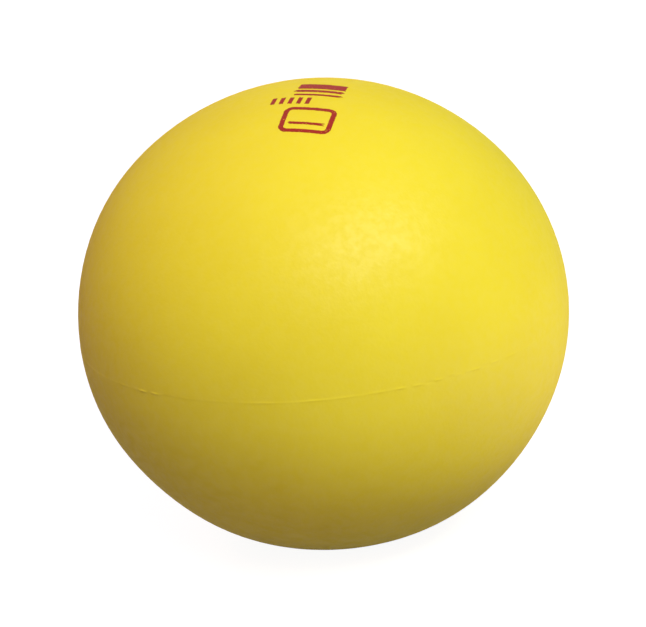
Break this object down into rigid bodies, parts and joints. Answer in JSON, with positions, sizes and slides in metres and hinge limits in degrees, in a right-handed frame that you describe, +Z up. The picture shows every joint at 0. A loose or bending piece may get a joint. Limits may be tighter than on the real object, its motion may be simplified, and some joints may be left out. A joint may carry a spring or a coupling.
{
  "type": "soft shot put ball",
  "caption": "Soft gel-filled PVC ball for shot put practice, slightly flattened at its poles, with a fine parting line and a closed filler in its base.",
  "frame": {"origin": "the middle of the contact face, where the ball stands on the floor", "axes": "+Z up along the mould's axis, through the filler at the bottom and the pole at the top; X and Y lie level, and the ball is the same all round"},
  "size_m": [0.1204, 0.1204, 0.1127],
  "materials": {
    "satin_yellow_pvc": "satin",
    "firm_yellow_pvc": "satin",
    "plug_yellow_pvc": "satin",
    "clear_gel": "gloss"
  },
  "bodies": {
    "root": {"skin": "satin_yellow_pvc", "filler_bush": "firm_yellow_pvc", "filler_plug": "plug_yellow_pvc", "gel_fill": "clear_gel"}
  },
  "joints": []
}
